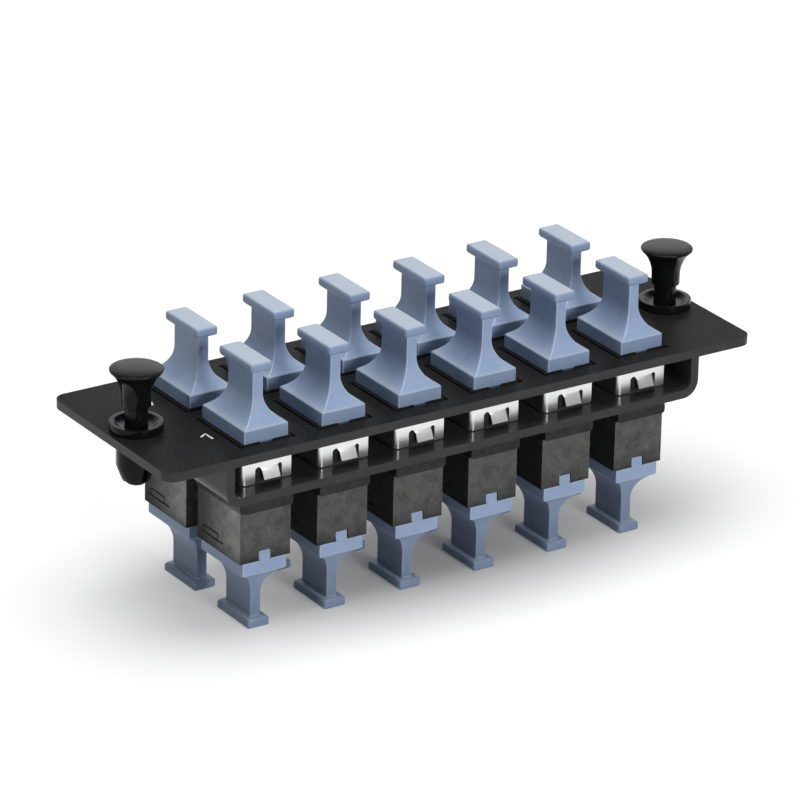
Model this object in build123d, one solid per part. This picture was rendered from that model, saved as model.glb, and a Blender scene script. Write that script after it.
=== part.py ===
"""Fibre adapter panel: a black moulded panel with two rows of six snap-in multi-fibre adapters,
a dust cap in every port, a sprung clip round every adapter and a push latch at each end.

Millimetres. +Z is up, +X runs along the panel, the front row is at -Y.
The origin is the centre of the footprint, on the surface that the lower caps stand on.
"""

from build123d import *
import os
from math import asin, cos, sin, sqrt

# Panel plate
plate_length = 109.0
plate_width = 35.0
plate_thickness = 1.5
plate_corner_radius = 2.1

# Bracket under the plate, moulded with it: two posts and a lower sheet
bracket_inset = 10.5
bracket_wall = 1.45
bracket_window_height = 5.2
bracket_bend_radius = 1.3

# Grid of adapter positions
columns = 6
rows = 2
row_pitch = 16.0
end_land = 2.0

# Cut-outs that the adapters pass through
cutout_clearance = 0.15

# Adapter, moulded in two halves that meet inside the flange
adapter_width = 9.1
adapter_depth = 12.55
adapter_half_length = 10.0
adapter_rise = 0.25
flange_height = 3.0
flange_reach = 0.7

# Port in each adapter half
port_width = 6.8
port_depth = 10.2
port_floor = 0.8
ferrule_window_width = 2.8
ferrule_window_depth = 6.6
keyway_width = 2.6
keyway_cut = 0.5
key_notch_width = 2.25
key_notch_height = 1.65

# Latch arms inside the port, which grip a plug's ears
arm_gap = 0.45
arm_thickness = 0.9
arm_width = 3.6
arm_length = 6.2
hook_reach = 0.4
hook_height = 1.0

# Spring clip of thin sheet metal, bent round three sides of the adapter
clip_sheet = 0.25
clip_clearance = 0.05
clip_end_gap = 0.15
clip_bend_break = 0.5
clip_left_land = 2.6
clip_slit = 0.75
tongue_width = 3.3
clip_top_strip = 1.9
tongue_shortfall = 0.7
tongue_spread = 0.9

# Dust cap
cap_length = 12.2
cap_base_width = 7.9
cap_base_depth = 12.4
cap_base_height = 2.2
cap_flare_height = 4.5
cap_stem_width = 1.85
cap_stem_depth = 7.3
cap_grip_width = 3.9
cap_grip_depth = 9.5
cap_grip_height = 1.5
cap_plug_clearance = 0.15
cap_plug_length = 5.5
cap_tab_clearance = 0.1

# Push latch: a split grommet snapped into the plate, and the plunger that slides in it
latch_inset = 4.9
grommet_flange_radius = 4.25
grommet_flange_height = 1.35
grommet_dish_radius = 3.5
grommet_dish_depth = 0.65
grommet_seat_radius = 3.4
grommet_leg_radius = 3.15
grommet_hole_clearance = 0.03
grommet_collar_length = 1.3
grommet_leg_length = 4.25
grommet_taper_length = 2.45
grommet_tip_radius = 2.25
grommet_slot = 0.8
throat_length = 2.6
plunger_clearance = 0.05
plunger_neck_radius = 1.8
plunger_pin_radius = 1.2
plunger_end_radius = 1.5
plunger_end_height = 0.65
plunger_travel = 3.2
plunger_shaft_radius = 2.3
plunger_shaft_length = 1.55
plunger_flare_height = 4.3
plunger_rim_radius = 4.22
plunger_rim_height = 0.6
plunger_dish_clearance = 0.2

# Chords that draw the round flares of the caps and of the knobs
cap_flare_chords = 3
knob_flare_chords = 2

# Lengths and levels that follow from the sizes above
bracket_length = plate_length - 2 * bracket_inset
column_pitch = (bracket_length - 2 * end_land) / columns
latch_spacing = plate_length - 2 * latch_inset
adapter_bottom = cap_length
parting_level = adapter_bottom + adapter_half_length
adapter_top = parting_level + adapter_half_length
plate_top = adapter_top - adapter_rise
plate_bottom = plate_top - plate_thickness
sheet_top = plate_bottom - bracket_window_height
sheet_bottom = sheet_top - bracket_wall
flange_bottom = sheet_bottom - flange_height
grommet_top = plate_top + grommet_flange_height
dish_bottom = grommet_top - grommet_dish_depth
taper_top = plate_bottom - grommet_leg_length
leg_tip = taper_top - grommet_taper_length
shoulder_level = dish_bottom + plunger_travel + plunger_clearance
clip_top = plate_bottom - clip_end_gap
clip_bottom = sheet_top + clip_end_gap
clip_recess = clip_sheet + clip_clearance

BOTTOM = (Align.CENTER, Align.CENTER, Align.MIN)
TOP = (Align.CENTER, Align.CENTER, Align.MAX)


def grid_places():
    """Adapter centres, numbered along the front row and then along the rear row."""
    places = []
    for row in range(rows):
        y = (row - (rows - 1) / 2) * row_pitch
        for column in range(columns):
            places.append(((column - (columns - 1) / 2) * column_pitch, y))
    return places


def flare_points(narrow, wide, height, chords):
    """Points of a round flare, as (half width, drop from its narrow end): an arc that starts
    upright at the narrow end and ends at the wide one."""
    spread = wide - narrow
    radius = (spread**2 + height**2) / (2 * spread)
    turn = asin(height / radius)
    steps = [turn * step / chords for step in range(chords + 1)]
    return [(narrow + radius * (1 - cos(a)), radius * sin(a)) for a in steps]


def face_along(plane, profile, reach):
    """A solid made by drawing a profile on a plane and extruding it to both sides."""
    return extrude(plane * profile, amount=reach, both=True)


def bracket_profile():
    """The U of the bracket, seen from the front: x across and z up."""
    height = plate_bottom - sheet_bottom
    outer = Pos(0, sheet_bottom + height / 2) * Rectangle(bracket_length, height)
    outer = fillet(outer.vertices().group_by(Axis.Y)[0], bracket_bend_radius + bracket_wall)
    window_length = bracket_length - 2 * bracket_wall
    window = Pos(0, sheet_top + bracket_window_height / 2)
    window = window * Rectangle(window_length, bracket_window_height)
    window = fillet(window.vertices().group_by(Axis.Y)[0], bracket_bend_radius)
    return outer - window


def panel():
    """Plate and bracket in one moulding, with twelve cut-outs through both and two latch holes."""
    outline = RectangleRounded(plate_length, plate_width, plate_corner_radius)
    plate = Pos(0, 0, plate_bottom) * extrude(outline, plate_thickness)
    body = plate + face_along(Plane.XZ, bracket_profile(), plate_width / 2)

    cut_width = adapter_width + 2 * cutout_clearance
    cut_depth = adapter_depth + 2 * cutout_clearance
    cut_height = plate_top - sheet_bottom
    cutout = Pos(0, 0, sheet_bottom) * Box(cut_width, cut_depth, cut_height, align=BOTTOM)
    body -= [Pos(x, y) * cutout for x, y in grid_places()]

    hole = Cylinder(grommet_seat_radius + grommet_hole_clearance, plate_thickness, align=BOTTOM)
    body -= [Pos(side * latch_spacing / 2, 0, plate_bottom) * hole for side in (-1, 1)]
    return body


def latch_arm(side):
    """One latch arm of a port, drawn in YZ from the port floor, with its hook turned inwards."""
    outer = port_depth / 2 - arm_gap
    inner = outer - arm_thickness
    hook = inner - hook_reach
    top = port_floor + arm_length
    points = [
        (side * outer, 0),
        (side * outer, top),
        (side * hook, top),
        (side * hook, top - hook_height),
        (side * inner, top - hook_height),
        (side * inner, 0),
    ]
    profile = make_face(Polyline(points, close=True))
    return face_along(Plane.YZ, profile, arm_width / 2)


def adapter_half(flange):
    """One adapter half, mouth up, with its parting face at z = 0 and its share of the flange."""
    body = Box(adapter_width, adapter_depth, adapter_half_length, align=BOTTOM)
    body += Box(adapter_width, adapter_depth + 2 * flange_reach, flange, align=BOTTOM)

    port = Box(port_width, port_depth, adapter_half_length, align=BOTTOM)
    keyway = Box(2 * keyway_cut, keyway_width, adapter_half_length, align=BOTTOM)
    port += Pos(port_width / 2, 0) * keyway
    body -= Pos(0, 0, port_floor) * port
    body -= Box(ferrule_window_width, ferrule_window_depth, port_floor, align=BOTTOM)
    notch = Box(key_notch_width, adapter_depth, key_notch_height, align=TOP)
    body -= Pos(0, 0, adapter_half_length) * notch
    return body + latch_arm(-1) + latch_arm(1)


def adapter_upper_half():
    """The half that stands in the panel: its middle is relieved on three sides for the clip."""
    body = adapter_half(sheet_bottom - parting_level)
    zone = plate_bottom - sheet_top
    left = -adapter_width / 2 + clip_recess
    core_depth = adapter_depth - 2 * clip_recess
    core = Pos(left, 0) * Box(
        adapter_width, core_depth, zone, align=(Align.MIN, Align.CENTER, Align.MIN)
    )
    core = chamfer(core.edges().filter_by(Axis.Z).group_by(Axis.X)[0], clip_bend_break)
    ring = Box(adapter_width, adapter_depth, zone, align=BOTTOM) - core
    body -= Pos(0, 0, sheet_top - parting_level) * ring
    return Pos(0, 0, parting_level) * body


def adapter_lower_half():
    """The half below the panel, mouth down, with the rest of the flange."""
    flange = parting_level - flange_bottom
    return Pos(0, 0, parting_level) * Rot(180, 0, 0) * adapter_half(flange)


def spring_clip():
    """A U of thin sheet round the adapter's -X face; each leg has a tongue sprung outwards."""
    height = clip_top - clip_bottom
    inner_left = -adapter_width / 2 + clip_recess
    inner_depth = adapter_depth - 2 * clip_recess
    corner = (Align.MIN, Align.CENTER, Align.MIN)
    right = adapter_width / 2
    inner = Pos(inner_left, 0) * Box(adapter_width, inner_depth, height, align=corner)
    inner = chamfer(inner.edges().filter_by(Axis.Z).group_by(Axis.X)[0], clip_bend_break)
    outer_left = inner_left - clip_sheet
    outer = Pos(outer_left, 0) * Box(
        right - outer_left, inner_depth + 2 * clip_sheet, height, align=corner
    )
    outer_break = clip_bend_break + clip_sheet * (2 - sqrt(2))
    outer = chamfer(outer.edges().filter_by(Axis.Z).group_by(Axis.X)[0], outer_break)
    clip = outer - inner

    gap_width = 2 * clip_slit + tongue_width
    gap_left = -adapter_width / 2 + clip_left_land
    tongue_root = height - clip_top_strip
    gap = Pos(gap_left + gap_width / 2, 0) * Box(gap_width, 2 * adapter_depth, tongue_root, align=BOTTOM)
    clip -= gap

    near = inner_depth / 2
    far = near + clip_sheet
    for side in (-1, 1):
        points = [
            (side * near, tongue_root),
            (side * far, tongue_root),
            (side * (far + tongue_spread), tongue_shortfall),
            (side * (near + tongue_spread), tongue_shortfall),
        ]
        tongue = face_along(Plane.YZ, make_face(Polyline(points, close=True)), tongue_width / 2)
        clip += Pos(gap_left + gap_width / 2, 0) * tongue
    return Pos(0, 0, clip_bottom) * clip


def flare_profile(stem, base, grip):
    """One outline of the cap from its base up: base, round flare, straight stem and grip slab."""
    flare_head = cap_base_height + cap_flare_height
    grip_under = cap_length - cap_grip_height
    flare = flare_points(stem / 2, base / 2, cap_flare_height, cap_flare_chords)
    right = [(base / 2, 0)]
    right += [(x, flare_head - drop) for x, drop in reversed(flare)]
    right += [(stem / 2, grip_under), (grip / 2, grip_under), (grip / 2, cap_length)]
    left = [(-x, z) for x, z in reversed(right)]
    return make_face(Polyline(right + left, close=True))


def dust_cap():
    """A moulded cap, plug down, with its base face at z = 0: the flared grip is the common part
    of a front profile and a side profile, so every level of it is a rectangle."""
    across = flare_profile(cap_stem_width, cap_base_width, cap_grip_width)
    along = flare_profile(cap_stem_depth, cap_base_depth, cap_grip_depth)
    body = face_along(Plane.XZ, across, cap_base_depth) & face_along(Plane.YZ, along, cap_base_width)

    hook_inner = port_depth / 2 - arm_gap - arm_thickness - hook_reach
    plug_width = port_width - 2 * cap_plug_clearance
    plug_depth = 2 * (hook_inner - cap_plug_clearance)
    body += Box(plug_width, plug_depth, cap_plug_length, align=TOP)

    tab_width = key_notch_width - 2 * cap_tab_clearance
    tab_height = key_notch_height - cap_tab_clearance
    tab_inner = port_depth / 2
    tab_outer = cap_base_depth / 2
    tab = Box(tab_width, tab_outer - tab_inner, tab_height, align=TOP)
    for way in (-1, 1):
        body += Pos(0, way * (tab_inner + tab_outer) / 2) * tab
    return body


def latch_grommet():
    """A flanged bush with a dished top; below the plate it is slit into two legs with tapered tips."""
    bore = plunger_neck_radius + plunger_clearance
    dish_floor = plunger_shaft_radius + plunger_dish_clearance
    throat = plunger_pin_radius + plunger_clearance
    throat_top = leg_tip + throat_length
    points = [
        (bore, dish_bottom),
        (dish_floor, dish_bottom),
        (grommet_dish_radius, grommet_top),
        (grommet_flange_radius, grommet_top),
        (grommet_flange_radius, plate_top),
        (grommet_seat_radius, plate_top),
        (grommet_seat_radius, plate_bottom),
        (grommet_leg_radius, plate_bottom),
        (grommet_leg_radius, taper_top),
        (grommet_tip_radius, leg_tip),
        (throat, leg_tip),
        (throat, throat_top),
        (bore, throat_top),
    ]
    body = revolve(Plane.XZ * make_face(Polyline(points, close=True)), axis=Axis.Z)
    slot_height = plate_bottom - grommet_collar_length - leg_tip
    across = 2 * grommet_seat_radius
    return body - Pos(0, 0, leg_tip) * Box(grommet_slot, across, slot_height, align=BOTTOM)


def latch_plunger():
    """The pull knob, moulded as one: head, trumpet flare, shaft, shoulder, neck and thin pin.
    The pin's end is wider than the throat of the legs, so the knob can't be pulled right out."""
    end_bottom = leg_tip - plunger_end_height
    neck_foot = leg_tip + throat_length + plunger_travel + plunger_clearance
    flare_foot = shoulder_level + plunger_shaft_length
    head_top = flare_foot + plunger_flare_height + plunger_rim_height
    flare = flare_points(
        plunger_shaft_radius, plunger_rim_radius, plunger_flare_height, knob_flare_chords
    )
    points = [
        (0, end_bottom),
        (plunger_end_radius, end_bottom),
        (plunger_end_radius, leg_tip),
        (plunger_pin_radius, leg_tip),
        (plunger_pin_radius, neck_foot),
        (plunger_neck_radius, neck_foot),
        (plunger_neck_radius, shoulder_level),
        (plunger_shaft_radius, shoulder_level),
    ]
    points += [(x, flare_foot + rise) for x, rise in flare]
    points += [(plunger_rim_radius, head_top), (0, head_top)]
    return revolve(Plane.XZ * make_face(Polyline(points, close=True)), axis=Axis.Z)


def save(node, shape):
    export_step(shape, f"parts/{node}.step")


def main():
    os.makedirs("parts", exist_ok=True)
    save("panel", panel())

    upper_half = adapter_upper_half()
    lower_half = adapter_lower_half()
    clip = spring_clip()
    upper_cap = Pos(0, 0, adapter_top) * dust_cap()
    lower_cap = Pos(0, 0, adapter_bottom) * Rot(180, 0, 0) * dust_cap()
    clips = []
    for number, (x, y) in enumerate(grid_places(), start=1):
        place = Pos(x, y)
        save(f"adapter_upper_half_{number:02d}", place * upper_half)
        save(f"adapter_lower_half_{number:02d}", place * lower_half)
        save(f"upper_cap_{number:02d}", place * upper_cap)
        save(f"lower_cap_{number:02d}", place * lower_cap)
        clips.append(place * clip)
    save("spring_clips", Compound(children=clips))

    grommet = latch_grommet()
    plunger = latch_plunger()
    left = Pos(-latch_spacing / 2, 0)
    right = Pos(latch_spacing / 2, 0)
    save("latch_grommets", Compound(children=[left * grommet, right * grommet]))
    save("latch_plunger_left", left * plunger)
    save("latch_plunger_right", right * plunger)


main()
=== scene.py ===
from math import asin, cos, pi, radians, sin, sqrt

import bpy
from mathutils import Matrix, Vector


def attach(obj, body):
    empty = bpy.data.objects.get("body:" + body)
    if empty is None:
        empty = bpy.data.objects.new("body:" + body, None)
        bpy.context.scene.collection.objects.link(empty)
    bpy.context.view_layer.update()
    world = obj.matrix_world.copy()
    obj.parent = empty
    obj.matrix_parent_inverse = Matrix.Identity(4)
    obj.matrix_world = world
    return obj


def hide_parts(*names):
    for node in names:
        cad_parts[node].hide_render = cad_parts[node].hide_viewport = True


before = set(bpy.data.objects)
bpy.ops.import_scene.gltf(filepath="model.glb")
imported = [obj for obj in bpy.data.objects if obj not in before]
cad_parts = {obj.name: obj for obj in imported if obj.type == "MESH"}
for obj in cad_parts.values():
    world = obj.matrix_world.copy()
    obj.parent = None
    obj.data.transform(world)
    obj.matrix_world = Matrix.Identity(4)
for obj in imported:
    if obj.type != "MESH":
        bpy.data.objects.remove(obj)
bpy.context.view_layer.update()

# Camera: it stands in front and to the left of the panel, a little above it and far back with a
# long lens, so the two rows of caps run up to the right with almost no perspective.
camera_turn = 0.5852
camera_height_angle = 0.4057
camera_roll = 0.0224
camera_distance = 0.903435
camera_shift = (-0.001215, -0.005464)
camera_aim = Vector((0, 0, 0.03195))
lens_pixels = 5738.09
image_pixels = 800
sensor_width = 36

look = Vector((sin(camera_turn) * cos(camera_height_angle),
               cos(camera_turn) * cos(camera_height_angle),
               -sin(camera_height_angle)))
level_right = Vector((cos(camera_turn), -sin(camera_turn), 0))
level_up = level_right.cross(look)
right = cos(camera_roll) * level_right + sin(camera_roll) * level_up
up = cos(camera_roll) * level_up - sin(camera_roll) * level_right
place = camera_aim - look * camera_distance + right * camera_shift[0] + up * camera_shift[1]

bpy.ops.object.camera_add()
camera = bpy.context.object
camera.name = "camera"
camera.matrix_world = Matrix((
    (right.x, up.x, -look.x, place.x),
    (right.y, up.y, -look.y, place.y),
    (right.z, up.z, -look.z, place.z),
    (0, 0, 0, 1),
))
camera.data.sensor_width = sensor_width
camera.data.lens = sensor_width * lens_pixels / image_pixels
camera.data.clip_start = 0.05
camera.data.clip_end = 20
bpy.context.scene.camera = camera
bpy.context.scene.view_settings.view_transform = "Standard"

# Studio: a pale floor, white surroundings and four soft lamps. The largest hangs over the panel,
# the second stands low in front of it, so that the front row shades the rear one, and two small
# ones at the left and behind on the right pick out edges.
floor_size = 6
floor_tone = (0.52, 0.52, 0.52, 1)
lift_offset = (-0.003, 0.002, 0)
lift_spread = (1 / 0.055, 1 / 0.028, 1)
lift_reach = 3.2
# Lift from near the panel to far off: its low values near the panel paint a shadow round it.
lift_rings_painted_shadow = [(0.08, 0.09), (0.19, 0.25), (0.28, 0.44), (0.36, 0.55), (0.60, 0.60), (1.0, 0.64)]
surround_light = 0.03
shine_span, shine = (-0.7, 0.3), (0.25, 1.0)
sky_span, sky_shine = (0.42, 0.80), (1.0, 0.12)


def add_node(nodes, kind, **values):
    """A node with some of its properties or input values set by name."""
    node = nodes.new(kind)
    for key, value in values.items():
        if key in node.inputs:
            node.inputs[key].default_value = value
        else:
            setattr(node, key, value)
    return node


def feed(links, socket, value):
    """Links the output of another node to an input, or sets the input to a plain value."""
    if isinstance(value, bpy.types.NodeSocket):
        links.new(value, socket)
    else:
        socket.default_value = value


def add_math(nodes, links, operation, *given, kind="ShaderNodeMath", **values):
    """The result of a Math node. What it is given are outputs of other nodes or plain values."""
    node = add_node(nodes, kind, operation=operation, **values)
    for socket, value in zip(node.inputs, given):
        feed(links, socket, value)
    return node.outputs[0]


def add_mix(nodes, links, factor, first, second, **values):
    """The result of a Mix node, whose colours have sockets other than its plain numbers have."""
    node = add_node(nodes, "ShaderNodeMix", **values)
    low, result = (6, 2) if node.data_type == "RGBA" else (2, 0)
    for socket, value in ((0, factor), (low, first), (low + 1, second)):
        feed(links, node.inputs[socket], value)
    return node.outputs[result]


def map_range(nodes, links, value, span, results=(0.0, 1.0), **values):
    """The value moved from one span to another, and kept within it."""
    node = add_node(nodes, "ShaderNodeMapRange", **values)
    for socket, limit in zip(("From Min", "From Max", "To Min", "To Max"), (*span, *results)):
        node.inputs[socket].default_value = limit
    links.new(value, node.inputs["Value"])
    return node.outputs["Result"]


def grey_ramp(nodes, links, share, stops, interpolation="LINEAR"):
    """A grey that follows a share, given as shares from low to high and the grey there."""
    node = add_node(nodes, "ShaderNodeValToRGB")
    ramp = node.color_ramp
    ramp.interpolation = interpolation
    for element, (place, grey) in zip(ramp.elements, (stops[0], stops[-1])):
        element.position = place
        element.color = (grey, grey, grey, 1)
    for place, grey in stops[1:-1]:
        ramp.elements.new(place).color = (grey, grey, grey, 1)
    links.new(share, node.inputs["Fac"])
    return node.outputs["Color"]


def new_material(name):
    material = bpy.data.materials.new(name)
    material.use_nodes = True
    material.node_tree.nodes.clear()
    return material, material.node_tree.nodes, material.node_tree.links


# The surroundings are white to the camera. In glossy surfaces they are white behind the panel and
# darker in front of it and overhead, and on matt ones they give very little light.
surroundings = bpy.data.worlds.new("white_surroundings")
surroundings.use_nodes = True
bpy.context.scene.world = surroundings
nodes, links = surroundings.node_tree.nodes, surroundings.node_tree.links
nodes.clear()
path = add_node(nodes, "ShaderNodeLightPath")
around = add_node(nodes, "ShaderNodeTexCoord")
direction = add_node(nodes, "ShaderNodeSeparateXYZ")
links.new(around.outputs["Generated"], direction.inputs[0])
mirrored = map_range(nodes, links, direction.outputs["Y"], shine_span, shine,
                     interpolation_type="SMOOTHSTEP")
overhead = map_range(nodes, links, direction.outputs["Z"], sky_span, sky_shine,
                     interpolation_type="SMOOTHSTEP")
shown = add_math(nodes, links, "MULTIPLY", mirrored, overhead)
glossy = add_mix(nodes, links, path.outputs["Is Glossy Ray"], surround_light, shown)
behind = add_math(nodes, links, "MAXIMUM",
                  path.outputs["Is Camera Ray"], path.outputs["Is Transmission Ray"])
strength = add_math(nodes, links, "MAXIMUM", glossy, behind)
background = add_node(nodes, "ShaderNodeBackground", Color=(1, 1, 1, 1))
output = add_node(nodes, "ShaderNodeOutputWorld")
links.new(strength, background.inputs["Strength"])
links.new(background.outputs[0], output.inputs["Surface"])

# The floor shows paler with the distance from the panel, in oval rings, and fades into the white
# behind it; the dim rings close round the panel are a painted shadow. This lift is for what sees
# the floor, and throws no light on the panel.
bpy.ops.object.select_all(action="DESELECT")
bpy.ops.mesh.primitive_plane_add(size=floor_size, location=(0, 0, 0))
floor = bpy.context.object
floor.name = "floor"
floor_paint, nodes, links = new_material("floor_paint")
path = add_node(nodes, "ShaderNodeLightPath")
seen = add_math(nodes, links, "MAXIMUM",
                path.outputs["Is Camera Ray"], path.outputs["Is Glossy Ray"])
seen = add_math(nodes, links, "MAXIMUM", seen, path.outputs["Is Transmission Ray"])
where = add_node(nodes, "ShaderNodeTexCoord")
centred = add_math(nodes, links, "ADD", where.outputs["Object"], lift_offset,
                   kind="ShaderNodeVectorMath")
oval = add_math(nodes, links, "MULTIPLY", centred, lift_spread, kind="ShaderNodeVectorMath")
away = add_node(nodes, "ShaderNodeVectorMath", operation="LENGTH")
links.new(oval, away.inputs[0])
share = add_math(nodes, links, "DIVIDE", away.outputs["Value"], lift_reach)
lift_with_painted_shadow = grey_ramp(nodes, links, share, lift_rings_painted_shadow, "B_SPLINE")
lift = add_math(nodes, links, "MULTIPLY", seen, lift_with_painted_shadow)
matt = add_node(nodes, "ShaderNodeBsdfDiffuse", Color=floor_tone)
glow = add_node(nodes, "ShaderNodeEmission", Color=(1, 1, 1, 1))
both = add_node(nodes, "ShaderNodeAddShader")
output = add_node(nodes, "ShaderNodeOutputMaterial")
links.new(lift, glow.inputs["Strength"])
links.new(matt.outputs[0], both.inputs[0])
links.new(glow.outputs[0], both.inputs[1])
links.new(both.outputs[0], output.inputs["Surface"])
floor.data.materials.append(floor_paint)


def add_softbox(name, position, aim, width, height, power):
    bpy.ops.object.light_add(type="AREA", location=position)
    lamp = bpy.context.object
    lamp.name = name
    lamp.rotation_euler = (Vector(aim) - Vector(position)).to_track_quat("-Z", "Y").to_euler()
    lamp.data.shape = "RECTANGLE"
    lamp.data.size = width
    lamp.data.size_y = height
    lamp.data.energy = power


add_softbox("overhead_softbox", (0, 0, 0.9), (0, 0, 0.02), 0.8, 0.7, 7.0)
add_softbox("front_softbox", (0.05, -0.95, 0.32), (0, 0, 0.03), 0.35, 0.30, 5.2)
add_softbox("left_strip_softbox", (-0.85, -0.05, 0.22), (0, 0, 0.03), 0.12, 0.40, 0.85)
add_softbox("rear_softbox", (0.50, 0.75, 0.42), (0, 0, 0.03), 0.35, 0.25, 0.12)

# Panel: one flat moulding of black plastic with a bracket hung under it like a shallow tray. Its
# face has the fine even grain of a textured mould, and its edges are lightly broken.
# The faces other than the top, bracket and broken edges alike, are painted lighter than the top as
# a painted sheen, which gives a painted highlight along the top's edges.
panel_black = (0.011, 0.011, 0.0113)
panel_grey = (0.018, 0.018, 0.0183)
side_black_painted_lighter = (0.034, 0.034, 0.0345)
side_grey_painted_lighter = (0.046, 0.046, 0.0465)
panel_edge = 0.00014
relief_slot = (0.0005, 0.0018)
relief_end = (0.0012, 0.0005)
relief_overlap = 0.0002
relief_past_corner = 0.0003
relief_past_plate = 0.0005
adapter_pitch = (0.014, 0.016)
cutout_size = (0.0094, 0.01285)
plate_top = 0.03195
plate_bottom = 0.03045

adapter_places = [((column - 2.5) * adapter_pitch[0], (row - 0.5) * adapter_pitch[1])
                  for row in range(2) for column in range(6)]


def activate(piece):
    """Only this piece is selected, and it is the active one."""
    if bpy.context.object and bpy.context.object.mode != "OBJECT":
        bpy.ops.object.mode_set(mode="OBJECT")
    bpy.ops.object.select_all(action="DESELECT")
    piece.select_set(True)
    bpy.context.view_layer.objects.active = piece


def merge_flats(piece):
    """Merges doubles, and makes each flat area one face, so that no seam shows in it."""
    activate(piece)
    bpy.ops.object.mode_set(mode="EDIT")
    bpy.ops.mesh.select_all(action="SELECT")
    bpy.ops.mesh.remove_doubles(threshold=0.000002)
    bpy.ops.mesh.dissolve_limited(angle_limit=radians(0.5))
    bpy.ops.object.mode_set(mode="OBJECT")


def copy_of_node(node, name):
    """A new piece with the node's mesh, which is loose triangles until its doubles are merged."""
    piece = bpy.data.objects.new(name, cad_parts[node].data.copy())
    piece.data.name = name
    piece.data.materials.clear()
    bpy.context.scene.collection.objects.link(piece)
    merge_flats(piece)
    return piece


def copy_of_piece(piece, name, move):
    """Another of the same piece, with a mesh of its own that is moved to its place."""
    other = bpy.data.objects.new(name, piece.data.copy())
    other.data.name = name
    bpy.context.scene.collection.objects.link(other)
    other.data.transform(move)
    return other


def apply_modifier(piece, kind, **values):
    """Adds a modifier with some of its values set by name, and applies it."""
    activate(piece)
    modifier = piece.modifiers.new(kind.lower(), kind)
    for key, value in values.items():
        setattr(modifier, key, value)
    bpy.ops.object.modifier_apply(modifier=modifier.name)


def cut_with(piece, cutter, operation="DIFFERENCE"):
    """A Boolean with another mesh, which is removed afterwards."""
    apply_modifier(piece, "BOOLEAN", operation=operation, solver="EXACT", object=cutter)
    bpy.data.objects.remove(cutter)


def add_block(low, high):
    """A block from its lowest to its highest corner, with its place in its mesh."""
    middle = [(a + b) / 2 for a, b in zip(low, high)]
    size = [b - a for a, b in zip(low, high)]
    bpy.ops.object.select_all(action="DESELECT")
    bpy.ops.mesh.primitive_cube_add(size=1, location=middle, scale=size)
    bpy.ops.object.transform_apply(location=True, rotation=True, scale=True)
    return bpy.context.object


def join(pieces):
    """One object of several, made from the first."""
    activate(pieces[0])
    for piece in pieces:
        piece.select_set(True)
    bpy.ops.object.join()
    return bpy.context.object


def round_edges(piece, width, segments=3, angle=35, finish=-1):
    """Breaks the sharp edges with a small radius. The faces between them keep their own normals.
    The rounded edges can take another of the piece's finishes, by its number."""
    apply_modifier(piece, "BEVEL", width=width, segments=segments, limit_method="ANGLE",
                   angle_limit=radians(angle), use_clamp_overlap=True,
                   face_strength_mode="FSTR_ALL", material=finish)
    activate(piece)
    bpy.ops.object.shade_smooth_by_angle(angle=radians(50))
    apply_modifier(piece, "WEIGHTED_NORMAL", keep_sharp=True, use_face_influence=True)


def new_group(name, inputs, outputs):
    """An effect that several materials share, with named inputs and outputs."""
    group = bpy.data.node_groups.new(name, "ShaderNodeTree")
    for label, kind, value in inputs:
        socket = group.interface.new_socket(name=label, in_out="INPUT", socket_type=kind)
        socket.default_value = value
    for label, kind in outputs:
        group.interface.new_socket(name=label, in_out="OUTPUT", socket_type=kind)
    return group, group.nodes.new("NodeGroupInput"), group.nodes.new("NodeGroupOutput")


# The grain of a textured mould: a fine pitted height, and a broad mottle of the surface.
mould_grain, given, result = new_group(
    "mould_grain",
    [("Pits per metre", "NodeSocketFloat", 3000.0), ("Mottle per metre", "NodeSocketFloat", 250.0)],
    [("Height", "NodeSocketFloat"), ("Mottle", "NodeSocketFloat")],
)
nodes, links = mould_grain.nodes, mould_grain.links
where = add_node(nodes, "ShaderNodeTexCoord")
pits = add_node(nodes, "ShaderNodeTexNoise", Detail=3.0, Roughness=0.6)
cells = add_node(nodes, "ShaderNodeTexVoronoi", feature="SMOOTH_F1", Smoothness=0.6)
mottle = add_node(nodes, "ShaderNodeTexNoise", Detail=5.0, Roughness=0.65, Distortion=0.4)
for texture, scale in ((pits, "Pits per metre"), (cells, "Pits per metre"),
                       (mottle, "Mottle per metre")):
    links.new(where.outputs["Object"], texture.inputs["Vector"])
    links.new(given.outputs[scale], texture.inputs["Scale"])
height = add_math(nodes, links, "MULTIPLY_ADD", cells.outputs["Distance"], 0.5, pits.outputs[0])
spread = map_range(nodes, links, mottle.outputs[0], (0.3, 0.7))
links.new(height, result.inputs["Height"])
links.new(spread, result.inputs["Mottle"])

# Handling marks: faint short scuffs and a little dust that settles on faces that look up.
handling, given, result = new_group(
    "handling",
    [("Scuffs per metre", "NodeSocketFloat", 900.0), ("Dust", "NodeSocketFloat", 0.5)],
    [("Scuffs", "NodeSocketFloat"), ("Dust", "NodeSocketFloat"), ("Upward", "NodeSocketFloat")],
)
nodes, links = handling.nodes, handling.links
where = add_node(nodes, "ShaderNodeTexCoord")
stretch = add_node(nodes, "ShaderNodeMapping", Rotation=(0.4, 0.2, 0.7), Scale=(1.0, 0.12, 0.5))
streaks = add_node(nodes, "ShaderNodeTexNoise", Detail=2.0, Roughness=0.5)
specks = add_node(nodes, "ShaderNodeTexNoise", Scale=1500.0, Detail=4.0, Roughness=0.7)
facing = add_node(nodes, "ShaderNodeNewGeometry")
normal = add_node(nodes, "ShaderNodeSeparateXYZ")
links.new(where.outputs["Object"], stretch.inputs["Vector"])
links.new(stretch.outputs[0], streaks.inputs["Vector"])
links.new(given.outputs["Scuffs per metre"], streaks.inputs["Scale"])
links.new(where.outputs["Object"], specks.inputs["Vector"])
links.new(facing.outputs["Normal"], normal.inputs[0])
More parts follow.
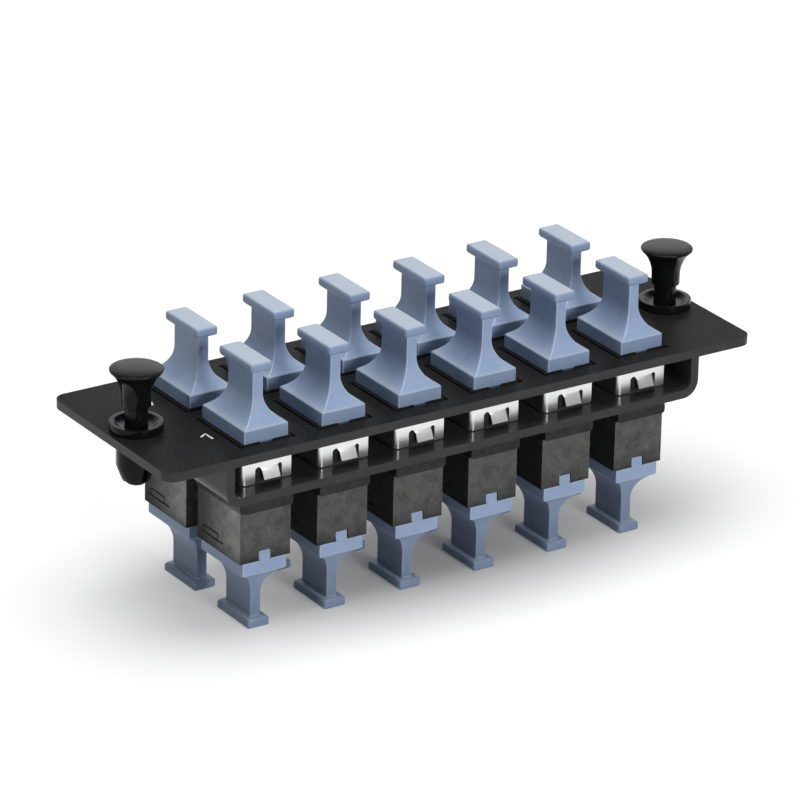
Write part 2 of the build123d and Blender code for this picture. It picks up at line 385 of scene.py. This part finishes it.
scuffs = map_range(nodes, links, streaks.outputs[0], (0.66, 0.76))
sparse = map_range(nodes, links, specks.outputs[0], (0.5, 0.75))
settled = add_math(nodes, links, "MULTIPLY", normal.outputs["Z"], sparse, use_clamp=True)
dust = add_math(nodes, links, "MULTIPLY", settled, given.outputs["Dust"], use_clamp=True)
# Upward: the faces that look up, where the painted sheen lies.
upward = map_range(nodes, links, normal.outputs["Z"], (0.75, 0.98), interpolation_type="SMOOTHSTEP")
for label, value in (("Scuffs", scuffs), ("Dust", dust), ("Upward", upward)):
    links.new(value, result.inputs[label])


def place_parts(nodes, links):
    """The three coordinates of a point, each as an output of its own."""
    where = add_node(nodes, "ShaderNodeTexCoord")
    parts = add_node(nodes, "ShaderNodeSeparateXYZ")
    links.new(where.outputs["Object"], parts.inputs[0])
    return parts.outputs


def tone_by_level(nodes, links, levels):
    """A grey that follows the height above the floor, given as heights and the grey there."""
    low, high = levels[0][0], levels[-1][0]
    share = map_range(nodes, links, place_parts(nodes, links)["Z"], (low, high))
    stops = [((level - low) / (high - low), grey) for level, grey in levels]
    return grey_ramp(nodes, links, share, stops)


def moulded_plastic(name, deep, pale, smooth, rough, gloss, pits, bump, mottle, scuffs, dust,
                    speckle=0.0, painted_sheen=0.0, painted_sheen_tone=(0.5, 0.5, 0.5), levels=None, fade=None):
    """Plastic as it leaves a mould: its tone wanders between two colours, its gloss with it, and
    grain, scuffs and dust lie on top. A pale painted sheen can lie on the faces that look up, and
    the tone can follow the height or a group of its own, which paint light and shade into it."""
    pit_depth = 0.00004
    dust_tone = (0.45, 0.44, 0.42, 1)
    dust_cover = 0.12
    scuff_roughness = 0.12
    middle_height = 0.75

    material, nodes, links = new_material(name)
    grain = add_node(nodes, "ShaderNodeGroup", node_tree=mould_grain)
    grain.inputs["Pits per metre"].default_value = pits
    grain.inputs["Mottle per metre"].default_value = mottle
    marks = add_node(nodes, "ShaderNodeGroup", node_tree=handling)
    marks.inputs["Scuffs per metre"].default_value = scuffs
    marks.inputs["Dust"].default_value = dust

    finer = add_math(nodes, links, "MULTIPLY_ADD",
                     grain.outputs["Height"], speckle, -middle_height * speckle)
    wander = add_math(nodes, links, "ADD", grain.outputs["Mottle"], finer, use_clamp=True)
    tone = add_mix(nodes, links, wander, (*deep, 1), (*pale, 1), data_type="RGBA")
    factors = [tone_by_level(nodes, links, levels)] if levels else []
    if fade:
        factors.append(add_node(nodes, "ShaderNodeGroup", node_tree=fade).outputs[0])
    for factor in factors:
        tone = add_mix(nodes, links, 1.0, tone, factor, data_type="RGBA", blend_type="MULTIPLY")
    # The painted sheen: the faces that look up are paled towards its tone.
    painted_sheen_share = add_math(nodes, links, "MULTIPLY", marks.outputs["Upward"], painted_sheen)
    tone = add_mix(nodes, links, painted_sheen_share, tone, (*painted_sheen_tone, 1), data_type="RGBA")
    thin_dust = add_math(nodes, links, "MULTIPLY", marks.outputs["Dust"], dust_cover)
    tone = add_mix(nodes, links, thin_dust, tone, dust_tone, data_type="RGBA")
    sheen = map_range(nodes, links, grain.outputs["Mottle"], (0.0, 1.0), (smooth, rough))
    scuffed = add_math(nodes, links, "MULTIPLY_ADD",
                       marks.outputs["Scuffs"], scuff_roughness, sheen, use_clamp=True)

    relief = add_node(nodes, "ShaderNodeBump", Strength=bump, Distance=pit_depth)
    surface = add_node(nodes, "ShaderNodeBsdfPrincipled")
    surface.inputs["Specular IOR Level"].default_value = gloss
    output = add_node(nodes, "ShaderNodeOutputMaterial")
    links.new(grain.outputs["Height"], relief.inputs["Height"])
    links.new(tone, surface.inputs["Base Color"])
    links.new(scuffed, surface.inputs["Roughness"])
    links.new(relief.outputs[0], surface.inputs["Normal"])
    links.new(surface.outputs[0], output.inputs["Surface"])
    return material


panel = copy_of_node("panel", "panel_moulding")
notches = []
for x, y in adapter_places:
    right_side, front_side = x + cutout_size[0] / 2, y - cutout_size[1] / 2
    left_side, rear_side = x - cutout_size[0] / 2, y + cutout_size[1] / 2
    low, high = plate_bottom - relief_past_plate, plate_top + relief_past_plate
    notches.append(add_block(
        (right_side - relief_overlap, front_side - relief_overlap, low),
        (right_side + relief_slot[0], front_side + relief_slot[1], high)))
    notches.append(add_block(
        (left_side - relief_past_corner, rear_side - relief_overlap, low),
        (left_side + relief_end[0], rear_side + relief_end[1], high)))
cut_with(panel, join(notches))
merge_flats(panel)
round_edges(panel, panel_edge)
panel_finish = moulded_plastic("panel_black_plastic", panel_black, panel_grey, 0.38, 0.48, 0.04,
                               pits=5200, bump=0.22, mottle=140, scuffs=500, dust=0.3)
side_finish_painted_lighter = moulded_plastic("panel_sides_painted_lighter", side_black_painted_lighter, side_grey_painted_lighter, 0.14, 0.22,
                                 0.16, pits=5200, bump=0.12, mottle=160, scuffs=500, dust=0.2)
panel.data.materials.append(panel_finish)
panel.data.materials.append(side_finish_painted_lighter)
# Only the top keeps the darkest finish. Every other face, edges included, takes the finish that is
# painted lighter as a painted sheen and highlight.
for face in panel.data.polygons:
    on_top = face.center.z > plate_top - 0.00001 and face.normal.z > 0.95
    face.material_index = 0 if on_top else 1
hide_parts("panel")
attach(panel, "panel_assembly")

# Position numbers: a plain 1 and a plain 7 pad printed in white beside the first adapter of each
# row, turned to be read from the left end. The ink is a film of a few hundredths of a millimetre.
stroke_width = 0.0004
ink_film = 0.00002
ink_white = (0.80, 0.80, 0.79)
ink_pale = (0.86, 0.86, 0.85)
figure_strokes = {
    "1": [(-0.04263, -0.00767), (-0.04148, -0.00688), (-0.04142, -0.00913)],
    "7": [(-0.04340, 0.00914), (-0.04191, 0.00914), (-0.04277, 0.00657)],
}

ink = moulded_plastic("white_marking_ink", ink_white, ink_pale, 0.5, 0.6, 0.3,
                      pits=9000, bump=0.05, mottle=900, scuffs=1800, dust=0.0)
for figure, corners in figure_strokes.items():
    bpy.ops.object.select_all(action="DESELECT")
    line = bpy.data.curves.new("figure_" + figure, "CURVE")
    line.dimensions = "3D"
    line.bevel_depth = stroke_width / 2
    line.bevel_resolution = 4
    line.use_fill_caps = True
    spline = line.splines.new("POLY")
    spline.points.add(len(corners) - 1)
    for point, (x, y) in zip(spline.points, corners):
        point.co = (x, y, 0, 1)
    digit = bpy.data.objects.new("figure_" + figure, line)
    bpy.context.scene.collection.objects.link(digit)
    activate(digit)
    bpy.ops.object.convert(target="MESH")
    digit = bpy.context.object
    digit.data.transform(Matrix.Translation((0, 0, plate_top))
                         @ Matrix.Diagonal((1, 1, 2 * ink_film / stroke_width, 1)))
    bpy.ops.object.shade_smooth()
    digit.data.materials.append(ink)
    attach(digit, "panel_assembly")

# Adapter halves: hollow black mouldings, rougher and greyer than the panel. The lower half has a
# key mark cut in its left side: a line with a small step, which shows how a plug's key faces.
adapter_black = (0.068, 0.068, 0.068)
adapter_grey = (0.140, 0.140, 0.138)
side_column = -0.0393
side_shade = 0.30
painted_corner_light = (4.2, 0.55)
edge_highlight_black = (0.120, 0.120, 0.120)
edge_highlight_grey = (0.240, 0.240, 0.236)
adapter_half_width = 0.00455
adapter_depth = 0.0125
adapter_edge = 0.00016
adapter_bottom = 0.0122
mark_depth = 0.00010
mark_line = 0.00026
mark_base = (-0.0012, 0.0054)
mark_step = (0.0002, 0.0046)
mark_rise = 0.00115
mark_above_bottom = 0.0015
mark_height = 0.002
flange_bottom = 0.0208
flange_corner = 0.0006
flange_edge_middle = 0.006625

# Painted shade by height: the adapters darken towards their bottom mouth, and much more above the
# flange, under the bracket's sheet and inside the plate.
painted_shade_levels = [
    (adapter_bottom, 0.40), (adapter_bottom + 0.0010, 0.70), (adapter_bottom + 0.0030, 1.0),
    (flange_bottom - 0.0001, 1.0), (flange_bottom + 0.0001, 0.36), (plate_top, 0.20),
]

# The open left sides are painted lighter towards their front corners, a painted pool of light, in
# the same way in both rows. The sides that face another adapter are painted darker, a painted shade
# between the adapters.
painted_side_light, given, result = new_group("painted_side_light", [], [("Tone", "NodeSocketFloat")])
nodes, links = painted_side_light.nodes, painted_side_light.links
place = place_parts(nodes, links)
from_front = add_math(nodes, links, "ADD", place["Y"], adapter_pitch[1] / 2 + adapter_depth / 2)
in_row = add_math(nodes, links, "WRAP", from_front, adapter_pitch[1], 0.0)
side_tone = map_range(nodes, links, in_row, (0.0, adapter_depth), painted_corner_light,
                      interpolation_type="SMOOTHSTEP")
facing = add_node(nodes, "ShaderNodeNewGeometry")
normal = add_node(nodes, "ShaderNodeSeparateXYZ")
links.new(facing.outputs["Normal"], normal.inputs[0])
sideways = add_math(nodes, links, "ABSOLUTE", normal.outputs["X"])
open_side = add_math(nodes, links, "LESS_THAN", place["X"], side_column)
painted_side_light_and_shade = add_mix(nodes, links, open_side, side_shade, side_tone)
links.new(add_mix(nodes, links, sideways, 1.0, painted_side_light_and_shade), result.inputs["Tone"])

adapter_finish = moulded_plastic("adapter_black_plastic", adapter_black, adapter_grey, 0.46, 0.62,
                                 0.07, pits=3600, bump=0.36, mottle=520, scuffs=700, dust=0.3,
                                 speckle=1.0, levels=painted_shade_levels, fade=painted_side_light)
# The rounded edges are painted paler, a painted highlight.
edge_highlight_finish = moulded_plastic("adapter_painted_edge_highlight", edge_highlight_black, edge_highlight_grey, 0.40, 0.55, 0.10,
                                pits=3600, bump=0.20, mottle=900, scuffs=700, dust=0.2,
                                levels=painted_shade_levels)
# Painted shade: the rim in the plate and round the cap, and the floors of the key mark, are as dark
# as the panel.
painted_shade_finish = moulded_plastic("adapter_painted_shade", panel_black, panel_grey, 0.5, 0.6, 0.03,
                             pits=3600, bump=0.2, mottle=420, scuffs=700, dust=0.2)


def pick_edges(piece, wanted):
    """Edit mode with only the edges selected whose two ends pass the test."""
    activate(piece)
    bpy.ops.object.mode_set(mode="EDIT")
    bpy.ops.mesh.select_mode(type="EDGE")
    bpy.ops.mesh.select_all(action="DESELECT")
    bpy.ops.object.mode_set(mode="OBJECT")
    mesh = piece.data
    for edge in mesh.edges:
        a, b = (mesh.vertices[index].co for index in edge.vertices)
        edge.select = wanted(a, b)
    bpy.ops.object.mode_set(mode="EDIT")


def under_flange_corner(a, b):
    """Whether an edge is one of the four short ones under the flange, beside the body's corners."""
    level = abs(a.z - flange_bottom) < 1e-5 and abs(b.z - flange_bottom) < 1e-5
    on_side = abs(a.x - b.x) < 1e-6 and abs(abs(a.x - first_x) - adapter_half_width) < 1e-5
    return level and on_side and abs(abs((a.y + b.y) / 2 - first_y) - flange_edge_middle) < 1e-4


def finish_half(half, in_painted_shade):
    """Puts the finishes on an adapter half and rounds its edges, which are painted paler as a
    highlight. The faces whose centre passes the test are painted as dark as the panel, a painted
    shade."""
    for finish in (adapter_finish, edge_highlight_finish, painted_shade_finish):
        half.data.materials.append(finish)
    round_edges(half, adapter_edge, finish=1)
    for face in half.data.polygons:
        if in_painted_shade(face.center):
            face.material_index = 2


first_x, first_y = adapter_places[0]
lower_half = copy_of_node("adapter_lower_half_01", "adapter_lower_half_01_moulding")
pick_edges(lower_half, under_flange_corner)
bpy.ops.mesh.bevel(offset=flange_corner, segments=4, affect="EDGES")
bpy.ops.object.mode_set(mode="OBJECT")

mark_face = first_x - adapter_half_width
mark_level = adapter_bottom + mark_above_bottom
mark_top = mark_level + mark_rise + mark_line
strokes = [
    (mark_base[0], mark_base[1], mark_level, mark_level + mark_line),
    (mark_step[0], mark_step[1], mark_level + mark_rise, mark_top),
    (mark_step[0], mark_step[0] + mark_line, mark_level, mark_top),
    (mark_step[1] - mark_line, mark_step[1], mark_level, mark_top),
]
for start, end, low, high in strokes:
    cut_with(lower_half, add_block((mark_face - mark_depth, first_y + start, low),
                                   (mark_face + mark_depth, first_y + end, high)))
merge_flats(lower_half)
# The floors of the key mark's grooves take the painted shade.
finish_half(lower_half, lambda centre: 0.00002 < centre.x - mark_face < 0.00015
            and centre.z < mark_level + mark_height)

upper_half = copy_of_node("adapter_upper_half_01", "adapter_upper_half_01_moulding")
# The upper half's rim, from the plate's underside up, takes the painted shade.
finish_half(upper_half, lambda centre: centre.z > plate_bottom)

for number, (x, y) in enumerate(adapter_places, start=1):
    step = Matrix.Translation((x - first_x, y - first_y, 0))
    for word, master in (("upper", upper_half), ("lower", lower_half)):
        half = master
        if number > 1:
            half = copy_of_piece(master, f"adapter_{word}_half_{number:02d}_moulding", step)
        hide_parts(f"adapter_{word}_half_{number:02d}")
        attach(half, "panel_assembly")

# Spring clips: bright strip, bent round the left side of each adapter. Two slits in each leg free a
# tongue that is sprung outwards under the plate, and the round slit ends keep it from tearing.
clip_sheet = 0.00025
clip_right = 0.00455
clip_left = -0.0045
clip_half_depth = 0.006225
clip_bend = 0.00085
bend_steps = 8
clip_bottom = 0.0254
clip_height = 0.0049
clip_rows = 14
leg_columns = [0.0030, 0.0015, 0, -0.0018]
strip_start = 0.00001
slit_widths = (0.00115, 0.00075)
slit_sides = 24
slit_reach = 0.008
slit_past_foot = 0.001
slit_overlap = 0.0001
tongue_left = -0.0008
tongue_width = 0.0029
tongue_root = clip_bottom + 0.0026
tongue_foot = clip_bottom + 0.0007
tongue_spread = 0.0009
tongue_curve = 1.25

bend_turns = [pi / 2 * step / bend_steps for step in range(bend_steps + 1)]
clip_path = [(x, -clip_half_depth) for x in leg_columns]
for side, turns in ((-1, bend_turns), (1, bend_turns[::-1])):
    for turn in turns:
        clip_path.append((clip_left + clip_bend - clip_bend * sin(turn),
                          side * (clip_half_depth - clip_bend + clip_bend * cos(turn))))
clip_path += [(x, clip_half_depth) for x in leg_columns[::-1]] + [(clip_right, clip_half_depth)]

# The strip starts as one upright row of edges, which is drawn along the path and then thickened.
bpy.ops.object.select_all(action="DESELECT")
bpy.ops.mesh.primitive_plane_add(
    size=1, location=(clip_right, -clip_half_depth, clip_bottom + clip_height / 2),
    rotation=(pi / 2, 0, 0))
clip = bpy.context.object
clip.name = "spring_clip_01_strip"
clip.scale = (strip_start, clip_height, 1)
bpy.ops.object.transform_apply(location=True, rotation=True, scale=True)
bpy.ops.object.mode_set(mode="EDIT")
bpy.ops.mesh.select_all(action="SELECT")
bpy.ops.mesh.remove_doubles(threshold=2 * strip_start)
bpy.ops.mesh.subdivide(number_cuts=clip_rows - 1)
here = (clip_right, -clip_half_depth)
for x, y in clip_path:
    bpy.ops.mesh.extrude_edges_move(
        TRANSFORM_OT_translate={"value": (x - here[0], y - here[1], 0)})
    here = (x, y)
bpy.ops.mesh.select_all(action="SELECT")
bpy.ops.mesh.normals_make_consistent(inside=False)
bpy.ops.object.mode_set(mode="OBJECT")
apply_modifier(clip, "SOLIDIFY", thickness=clip_sheet, offset=-1)

slots = []
for left, slit_width in ((tongue_left - slit_widths[0], slit_widths[0]),
                         (tongue_left + tongue_width, slit_widths[1])):
    round_end = tongue_root - slit_width / 2
    slots.append(add_block((left, -slit_reach, clip_bottom - slit_past_foot),
                           (left + slit_width, slit_reach, round_end)))
    bpy.ops.mesh.primitive_cylinder_add(
        vertices=slit_sides, radius=slit_width / 2, depth=2 * slit_reach,
        location=(left + slit_width / 2, 0, round_end), rotation=(pi / 2, 0, 0))
    bpy.ops.object.transform_apply(location=True, rotation=True, scale=True)
    slots.append(bpy.context.object)
slots.append(add_block(
    (tongue_left - slit_overlap, -slit_reach, clip_bottom - slit_past_foot),
    (tongue_left + tongue_width + slit_overlap, slit_reach, tongue_foot)))
for slot in slots:
    cut_with(clip, slot)

# The tongues are bent outwards row by row, more and more towards their free edge. A point between
# two rows is moved in step with both, so that every face stays flat.
row_height = clip_height / clip_rows


def tongue_push(level):
    """How far a tongue is pushed outwards at a level."""
    share = max(0, (tongue_root - level) / (tongue_root - tongue_foot))
    return tongue_spread * share ** tongue_curve


for vertex in clip.data.vertices:
    place = vertex.co
    across_tongue = tongue_left - 1e-5 < place.x < tongue_left + tongue_width + 1e-5
    if across_tongue and place.z < tongue_root:
        row, share = divmod((place.z - clip_bottom) / row_height, 1)
        foot = clip_bottom + row * row_height
        push = tongue_push(foot) * (1 - share) + tongue_push(foot + row_height) * share
        place.y += push if place.y > 0 else -push
activate(clip)
bpy.ops.object.shade_smooth_by_angle(angle=radians(32))
apply_modifier(clip, "WEIGHTED_NORMAL", keep_sharp=True)


def rolled_steel(name):
    """Bright rolled strip: near mirror, with faint lines along the rolling direction."""
    material, nodes, links = new_material(name)
    where = add_node(nodes, "ShaderNodeTexCoord")
    stretch = add_node(nodes, "ShaderNodeMapping", Scale=(0.06, 0.06, 1.0))
    streaks = add_node(nodes, "ShaderNodeTexNoise", Scale=9000.0, Detail=3.0, Roughness=0.6)
    cloud = add_node(nodes, "ShaderNodeTexNoise", Scale=600.0, Detail=3.0, Roughness=0.5)
    relief = add_node(nodes, "ShaderNodeBump", Strength=0.06, Distance=0.00001)
    surface = add_node(nodes, "ShaderNodeBsdfPrincipled", Metallic=1.0)
    output = add_node(nodes, "ShaderNodeOutputMaterial")
    links.new(where.outputs["Object"], stretch.inputs["Vector"])
    links.new(stretch.outputs[0], streaks.inputs["Vector"])
    links.new(where.outputs["Object"], cloud.inputs["Vector"])
    sheen = map_range(nodes, links, cloud.outputs[0], (0.0, 1.0), (0.27, 0.36))
    tone = add_mix(nodes, links, cloud.outputs[0], (0.72, 0.72, 0.73, 1), (0.84, 0.84, 0.84, 1),
                   data_type="RGBA")
    links.new(tone, surface.inputs["Base Color"])
    links.new(sheen, surface.inputs["Roughness"])
    links.new(streaks.outputs[0], relief.inputs["Height"])
    links.new(relief.outputs[0], surface.inputs["Normal"])
    links.new(surface.outputs[0], output.inputs["Surface"])
    return material


clip.data.materials.append(rolled_steel("bright_rolled_strip"))
clip.data.transform(Matrix.Translation((first_x, first_y, 0)))
for number, (x, y) in enumerate(adapter_places, start=1):
    strip = clip
    if number > 1:
        strip = copy_of_piece(clip, f"spring_clip_{number:02d}_strip",
                              Matrix.Translation((x - first_x, y - first_y, 0)))
    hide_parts("spring_clips")
    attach(strip, "panel_assembly")

# Dust caps: one moulding in blue plastic, with a plug, two tabs, a base, a hollow flare on all four
# sides and a grip slab. They are pressed into the ports and pulled out by the slab.
cap_blue = (0.255, 0.343, 0.515)
cap_pale = (0.305, 0.397, 0.570)
# The rounded edges of the caps are painted paler, a painted highlight.
edge_highlight_blue = (0.360, 0.450, 0.620)
edge_highlight_pale = (0.430, 0.520, 0.680)
# The tone of the painted sheen on the caps' faces that look up.
cap_painted_sheen = (0.56, 0.62, 0.69)
# Painted light and shade on the caps by height. The lower caps are darker on slab and stem and
# lighter towards their base. A thin dark band where the upper caps meet the plate is a painted
# shadow. The upper caps grow lighter up flare and stem, with a darker slab.
cap_painted_light_levels = [
    (0.0, 0.80), (0.0016, 0.80), (0.0020, 0.68), (0.0060, 0.78), (0.0090, 1.0), (0.0102, 1.12),
    (0.0122, 1.12), (0.0180, 0.9), (0.03185, 0.86), (0.03190, 0.2), (0.03212, 0.2),
    (0.03222, 0.86), (0.0343, 0.86), (0.0352, 1.04), (0.0400, 1.10),
    (0.0427, 1.12), (0.0430, 0.86), (0.0444, 0.92),
]
plug = (0.0065, 0.0064, 0.0055)
base = (0.0079, 0.0124, 0.0022)
stem = (0.00185, 0.0073)
flare_height = 0.0045
slab = (0.0039, 0.0095, 0.0015)
cap_height = 0.0122
flare_steps = 16
tab = (0.00205, 0.0011, 0.00155)
tab_centre = 0.00565
tab_overlap = 0.0004
cap_edge = 0.00016
slab_edge = 0.00040
port_top = 0.0322
port_foot = 0.0122


def draw_up(sections):
    """Extrudes the selected face from section to section. A section is the rise to it, and its two
    widths as shares of those before it."""
    for rise, grow_x, grow_y in sections:
        bpy.ops.mesh.extrude_region_move(TRANSFORM_OT_translate={"value": (0, 0, rise)})
        bpy.ops.transform.resize(value=(grow_x, grow_y, 1), center_override=(0, 0, 0))


def pick_top(piece):
    """Edit mode with only the highest face selected."""
    activate(piece)
    bpy.ops.object.mode_set(mode="EDIT")
    bpy.ops.mesh.select_mode(type="FACE")
    bpy.ops.mesh.select_all(action="DESELECT")
    bpy.ops.object.mode_set(mode="OBJECT")
    highest = max(face.center.z for face in piece.data.polygons)
    for face in piece.data.polygons:
        face.select = face.center.z > highest - 1e-7
    bpy.ops.object.mode_set(mode="EDIT")


def flare(narrow, wide, height, steps):
    """Rises and half widths of a hollow flare from its wide foot up, an arc that ends upright."""
    spread = wide - narrow
    radius = (spread ** 2 + height ** 2) / (2 * spread)
    turn = asin(height / radius)
    angles = [turn * step / steps for step in range(steps, -1, -1)]
    return [(height - radius * sin(a), narrow + radius * (1 - cos(a))) for a in angles]


def slab_corner(a, b):
    """Whether an edge is an upright corner of the grip slab, or lies round its top."""
    on_slab = min(a.z, b.z) > slab_foot - 1e-6
    at_corner = (max(abs(a.x), abs(b.x)) > slab[0] / 2 - 1e-6
                 and max(abs(a.y), abs(b.y)) > slab[1] / 2 - 1e-6)
    return on_slab and at_corner or min(a.z, b.z) > cap_height - 1e-6


across = flare(stem[0] / 2, base[0] / 2, flare_height, flare_steps)
deep_spread = base[1] / 2 - stem[1] / 2
deep_radius = (deep_spread ** 2 + flare_height ** 2) / (2 * deep_spread)
levels = [(0, plug[0] / 2, plug[1] / 2), (0, base[0] / 2, base[1] / 2),
          (base[2], base[0] / 2, base[1] / 2)]
for rise, half in across[1:]:
    drop = flare_height - rise
    half_depth = stem[1] / 2 + deep_radius - sqrt(deep_radius ** 2 - drop ** 2)
    levels.append((base[2] + rise, half, half_depth))
slab_foot = cap_height - slab[2]
levels += [(slab_foot, stem[0] / 2, stem[1] / 2), (slab_foot, slab[0] / 2, slab[1] / 2),
           (cap_height, slab[0] / 2, slab[1] / 2)]

cap = add_block((-plug[0] / 2, -plug[1] / 2, -plug[2]), (plug[0] / 2, plug[1] / 2, 0))
cap.name = "dust_cap"
pick_top(cap)
draw_up([(after[0] - before[0], after[1] / before[1], after[2] / before[2])
         for before, after in zip(levels, levels[1:])])
bpy.ops.object.mode_set(mode="OBJECT")
tabs = [add_block((-tab[0] / 2, side * tab_centre - tab[1] / 2, -tab[2]),
                  (tab[0] / 2, side * tab_centre + tab[1] / 2, tab_overlap)) for side in (-1, 1)]
cut_with(cap, join(tabs), "UNION")
merge_flats(cap)
pick_edges(cap, slab_corner)
bpy.ops.mesh.bevel(offset=slab_edge, segments=4, affect="EDGES", clamp_overlap=True)
bpy.ops.object.mode_set(mode="OBJECT")
cap_finish = moulded_plastic("cap_blue_plastic", cap_blue, cap_pale, 0.30, 0.42, 0.32,
                             pits=4200, bump=0.10, mottle=300, scuffs=600, dust=0.25,
                             speckle=0.3, painted_sheen=0.6, painted_sheen_tone=cap_painted_sheen, levels=cap_painted_light_levels)
cap_edge_highlight = moulded_plastic("cap_painted_edge_highlight", edge_highlight_blue, edge_highlight_pale, 0.28, 0.38, 0.35,
                             pits=4200, bump=0.08, mottle=1200, scuffs=600, dust=0.2,
                             levels=cap_painted_light_levels)
cap.data.materials.append(cap_finish)
cap.data.materials.append(cap_edge_highlight)
round_edges(cap, cap_edge, angle=38, finish=1)

upside_down = Matrix.Rotation(pi, 4, "X")
for number, (x, y) in enumerate(adapter_places, start=1):
    for word, stand in (("upper", Matrix.Translation((x, y, port_top))),
                        ("lower", Matrix.Translation((x, y, port_foot)) @ upside_down)):
        name = f"{word}_cap_{number:02d}"
        one = copy_of_piece(cap, name + "_moulding", stand)
        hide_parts(name)
        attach(one, name)
bpy.data.objects.remove(cap)

# Latch grommets: glossy black bushes with a flange and a dished top. Two legs reach down through
# the panel, and the real plunger spreads them when it is pushed in.
round_sides = 72
latch_places = {"left": -0.0496, "right": 0.0496}
leg_tip = 0.02375
taper_top = 0.02620
throat_top = leg_tip + 0.0026
dish_bottom = 0.03265
flange_top = 0.03330
grommet_levels = [
    (leg_tip, 0.00225), (taper_top, 0.00315), (plate_bottom, 0.00315), (plate_bottom, 0.00340),
    (plate_top, 0.00340), (plate_top, 0.00425), (flange_top, 0.00425), (flange_top, 0.00350),
    (dish_bottom + 0.0003, 0.00310), (dish_bottom + 0.0001, 0.00280), (dish_bottom, 0.00250),
    (dish_bottom, 0.00185), (throat_top, 0.00185), (throat_top, 0.00125), (leg_tip, 0.00125),
]
leg_slot = 0.0008
leg_slot_foot = 0.022
leg_slot_top = 0.02915
leg_slot_reach = 0.004
grommet_edge = 0.00014
gloss_black = (0.005, 0.005, 0.0052)
gloss_grey = (0.009, 0.009, 0.0093)


def turned_ring(name, levels, closed):
    """A round piece drawn as by turning: a circle is extruded from level to level, where a level is
    its height and radius. It is closed back to its start, or else filled at both ends."""
    bpy.ops.object.select_all(action="DESELECT")
    bpy.ops.mesh.primitive_circle_add(vertices=round_sides, radius=levels[0][1],
                                      location=(0, 0, levels[0][0]))
    piece = bpy.context.object
    piece.name = name
    bpy.ops.object.transform_apply(location=True, rotation=True, scale=True)
    bpy.ops.object.mode_set(mode="EDIT")
    bpy.ops.mesh.select_all(action="SELECT")
    if not closed:
        bpy.ops.mesh.edge_face_add()
        bpy.ops.mesh.select_mode(type="EDGE")
    stops = levels[1:] + (levels[:1] if closed else [])
    here = levels[0]
    for level in stops:
        rise, grow = level[0] - here[0], level[1] / here[1]
        bpy.ops.mesh.extrude_edges_move(TRANSFORM_OT_translate={"value": (0, 0, rise)})
        bpy.ops.transform.resize(value=(grow, grow, 1), center_override=(0, 0, 0))
        here = level
    if not closed:
        bpy.ops.mesh.edge_face_add()
    bpy.ops.mesh.select_all(action="SELECT")
    bpy.ops.mesh.remove_doubles(threshold=0.0000005)
    bpy.ops.mesh.normals_make_consistent(inside=False)
    bpy.ops.object.mode_set(mode="OBJECT")
    return piece


grommet = turned_ring("latch_grommet", grommet_levels, closed=True)
cut_with(grommet, add_block((-leg_slot / 2, -leg_slot_reach, leg_slot_foot),
                            (leg_slot / 2, leg_slot_reach, leg_slot_top)))
round_edges(grommet, grommet_edge, angle=32)
latch_finish = moulded_plastic("latch_gloss_black_plastic", gloss_black, gloss_grey, 0.10, 0.17,
                               0.12, pits=2500, bump=0.03, mottle=350, scuffs=900, dust=0.2)
grommet.data.materials.append(latch_finish)
for side, x in latch_places.items():
    bush = copy_of_piece(grommet, f"latch_grommet_{side}_bush", Matrix.Translation((x, 0, 0)))
    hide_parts("latch_grommets")
    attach(bush, "panel_assembly")
bpy.data.objects.remove(grommet)

# Latch plungers: turned-looking glossy knobs with a domed head and a trumpet flare, in one moulding
# with the neck and pin that slide between the grommet's legs. The wider pin end holds them in.
end_foot = leg_tip - 0.00065
end_radius = 0.00150
pin_radius = 0.00120
pin_top = 0.02960
neck_radius = 0.00180
knob_shoulder = 0.03590
shaft_radius = 0.00230
flare_foot = 0.03745
flare_head = 0.04175
rim_level = 0.04192
rim_radius = 0.00422
knob_dome = [
    (0.04200, 0.00418), (0.04206, 0.00408), (0.04210, 0.00395), (0.04217, 0.00350),
    (0.04223, 0.00300), (0.04228, 0.00240), (0.04232, 0.00170), (0.04235, 0.00080),
]
knob_steps = 14
knob_edge = 0.00012

trumpet = flare(shaft_radius, rim_radius, flare_head - flare_foot, knob_steps)
plunger_levels = [
    (end_foot, end_radius), (leg_tip, end_radius), (leg_tip, pin_radius), (pin_top, pin_radius),
    (pin_top, neck_radius), (knob_shoulder, neck_radius), (knob_shoulder, shaft_radius),
]
plunger_levels += [(flare_foot + (flare_head - flare_foot - rise), half)
                   for rise, half in trumpet[::-1]]
plunger_levels += [(rim_level, rim_radius)] + knob_dome
knob = turned_ring("latch_knob", plunger_levels, closed=False)
round_edges(knob, knob_edge, angle=38)
knob.data.materials.append(latch_finish)
for side, x in latch_places.items():
    name = f"latch_plunger_{side}"
    one = copy_of_piece(knob, name + "_knob", Matrix.Translation((x, 0, 0)))
    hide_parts(name)
    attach(one, name)
bpy.data.objects.remove(knob)
